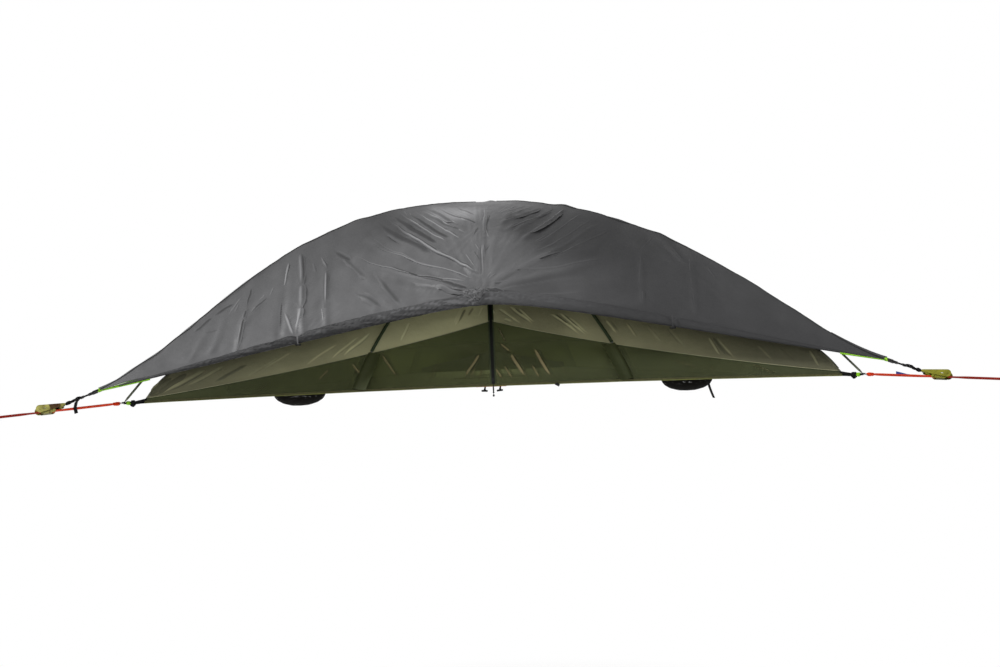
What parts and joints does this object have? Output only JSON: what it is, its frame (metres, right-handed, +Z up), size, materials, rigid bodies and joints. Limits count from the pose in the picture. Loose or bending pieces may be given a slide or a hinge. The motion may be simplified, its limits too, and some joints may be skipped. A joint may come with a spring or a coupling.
{
  "type": "suspended tree tent",
  "caption": "Triangular tent slung between trees by corner straps with ratchets; crossed poles, inner tent with floor hatch and pouches, rain fly held out by guys.",
  "frame": {"origin": "middle of the floor's top face, the centre of the triangle that the three straps hang it by", "axes": "+Z up, the front edge with the door faces -Y, the rear corner points along +Y"},
  "size_m": [5.7108, 4.9461, 1.2501],
  "materials": {
    "bare_steel": "satin",
    "black_plastic": "satin",
    "black_webbing": "woven",
    "canopy_cloth": "thin mesh and cloth",
    "floor_cloth": "heavy coated cloth",
    "fly_cloth": "coated ripstop",
    "grey_tape": "woven",
    "mesh_cloth": "net",
    "orange_webbing": "woven",
    "pole_alloy": "satin",
    "wall_cloth": "thin cloth",
    "zinc_plate": "yellow zinc plated",
    "zip_tape": "woven"
  },
  "bodies": {
    "tent": {"corner_loop_left": "black_webbing", "corner_loop_rear": "black_webbing", "corner_loop_right": "black_webbing", "corner_ring_left": "bare_steel", "corner_ring_rear": "bare_steel", "corner_ring_right": "bare_steel", "door_toggle_left": "black_plastic", "door_toggle_right": "black_plastic", "door_zip_tape": "zip_tape", "edge_webbing": "black_webbing", "floor": "floor_cloth", "floor_cross_webbing": "black_webbing", "fly_buckle_left": "black_plastic", "fly_buckle_rear": "black_plastic", "fly_buckle_right": "black_plastic", "fly_guy_left": "black_webbing", "fly_guy_rear": "black_webbing", "fly_guy_right": "black_webbing", "fly_hook_left": "black_plastic", "fly_hook_rear": "black_plastic", "fly_hook_right": "black_plastic", "gear_pouch_left": "mesh_cloth", "gear_pouch_rear": "mesh_cloth", "gear_pouch_right": "mesh_cloth", "inner_canopy": "canopy_cloth", "inner_wall": "wall_cloth", "pole_front_left": "pole_alloy", "pole_front_right": "pole_alloy", "rainfly": "fly_cloth", "ratchet_frame_left": "zinc_plate", "ratchet_frame_rear": "zinc_plate", "ratchet_frame_right": "zinc_plate", "rear_pocket": "mesh_cloth", "ridge_stay_left": "grey_tape", "ridge_stay_rear": "grey_tape", "ridge_stay_right": "grey_tape", "short_strap_left": "orange_webbing", "short_strap_rear": "orange_webbing", "short_strap_right": "orange_webbing", "tree_strap_left": "orange_webbing", "tree_strap_rear": "orange_webbing", "tree_strap_right": "orange_webbing"},
    "left_handle": {"ratchet_handle_left": "zinc_plate"},
    "left_spool": {"ratchet_spool_left": "zinc_plate", "wound_strap_left": "orange_webbing"},
    "left_drive_pawl": {"drive_pawl_left": "bare_steel"},
    "left_lock_pawl": {"lock_pawl_left": "bare_steel"},
    "right_handle": {"ratchet_handle_right": "zinc_plate"},
    "right_spool": {"ratchet_spool_right": "zinc_plate", "wound_strap_right": "orange_webbing"},
    "right_drive_pawl": {"drive_pawl_right": "bare_steel"},
    "right_lock_pawl": {"lock_pawl_right": "bare_steel"},
    "rear_handle": {"ratchet_handle_rear": "zinc_plate"},
    "rear_spool": {"ratchet_spool_rear": "zinc_plate", "wound_strap_rear": "orange_webbing"},
    "rear_drive_pawl": {"drive_pawl_rear": "bare_steel"},
    "rear_lock_pawl": {"lock_pawl_rear": "bare_steel"},
    "zip": {"zip_slider": "black_plastic", "zip_pull_cord": "black_webbing"},
    "hatch": {"hatch_flap": "floor_cloth"}
  },
  "joints": [
    {"name": "left_handle_hinge", "type": "hinge", "parent": "tent", "child": "left_handle", "pos_m": [-2.46263, -1.4149, -0.00562], "axis": [0.4378, -0.7937, 0.4222], "range_deg": [0, 150]},
    {"name": "left_spool_turn", "type": "hinge", "parent": "tent", "child": "left_spool", "pos_m": [-2.46263, -1.4149, -0.00562], "axis": [0.4378, -0.7937, 0.4222], "continuous": true},
    {"name": "left_drive_pawl_slide", "type": "slide", "parent": "left_handle", "child": "left_drive_pawl", "axis": [0.8653, 0.4996, 0.0419], "range_m": [-0.0038, 0.003], "stiffness_N_per_m": 800},
    {"name": "left_lock_pawl_slide", "type": "slide", "parent": "tent", "child": "left_lock_pawl", "axis": [0.8714, 0.2591, -0.4165], "range_m": [0, 0.0045], "stiffness_N_per_m": 800, "springref_m": -0.002},
    {"name": "right_handle_hinge", "type": "hinge", "parent": "tent", "child": "right_handle", "pos_m": [2.46263, -1.4149, -0.00562], "axis": [0.4378, 0.7937, -0.4222], "range_deg": [0, 150]},
    {"name": "right_spool_turn", "type": "hinge", "parent": "tent", "child": "right_spool", "pos_m": [2.46263, -1.4149, -0.00562], "axis": [0.4378, 0.7937, -0.4222], "continuous": true},
    {"name": "right_drive_pawl_slide", "type": "slide", "parent": "right_handle", "child": "right_drive_pawl", "axis": [-0.8653, 0.4996, 0.0419], "range_m": [-0.0038, 0.003], "stiffness_N_per_m": 800},
    {"name": "right_lock_pawl_slide", "type": "slide", "parent": "tent", "child": "right_lock_pawl", "axis": [-0.8714, 0.2591, -0.4165], "range_m": [0, 0.0045], "stiffness_N_per_m": 800, "springref_m": -0.002},
    {"name": "rear_handle_hinge", "type": "hinge", "parent": "tent", "child": "rear_handle", "pos_m": [0.00598, 2.84015, -0.00562], "axis": [-0.9063, 0.0177, 0.4222], "range_deg": [0, 150]},
    {"name": "rear_spool_turn", "type": "hinge", "parent": "tent", "child": "rear_spool", "pos_m": [0.00598, 2.84015, -0.00562], "axis": [-0.9063, 0.0177, 0.4222], "continuous": true},
    {"name": "rear_drive_pawl_slide", "type": "slide", "parent": "rear_handle", "child": "rear_drive_pawl", "axis": [0, -0.9991, 0.0419], "range_m": [-0.0038, 0.003], "stiffness_N_per_m": 800},
    {"name": "rear_lock_pawl_slide", "type": "slide", "parent": "tent", "child": "rear_lock_pawl", "axis": [-0.2113, -0.8842, -0.4165], "range_m": [0, 0.0045], "stiffness_N_per_m": 800, "springref_m": -0.002},
    {"name": "zip_slide", "type": "slide", "parent": "tent", "child": "zip", "axis": [0, 0.4995, 0.8663], "range_m": [0, 0.34], "deforming": ["zip_pull_cord"]},
    {"name": "hatch_hinge", "type": "hinge", "parent": "tent", "child": "hatch", "pos_m": [0, -0.1485, 0], "axis": [1, 0, 0], "range_deg": [0, 110]}
  ]
}
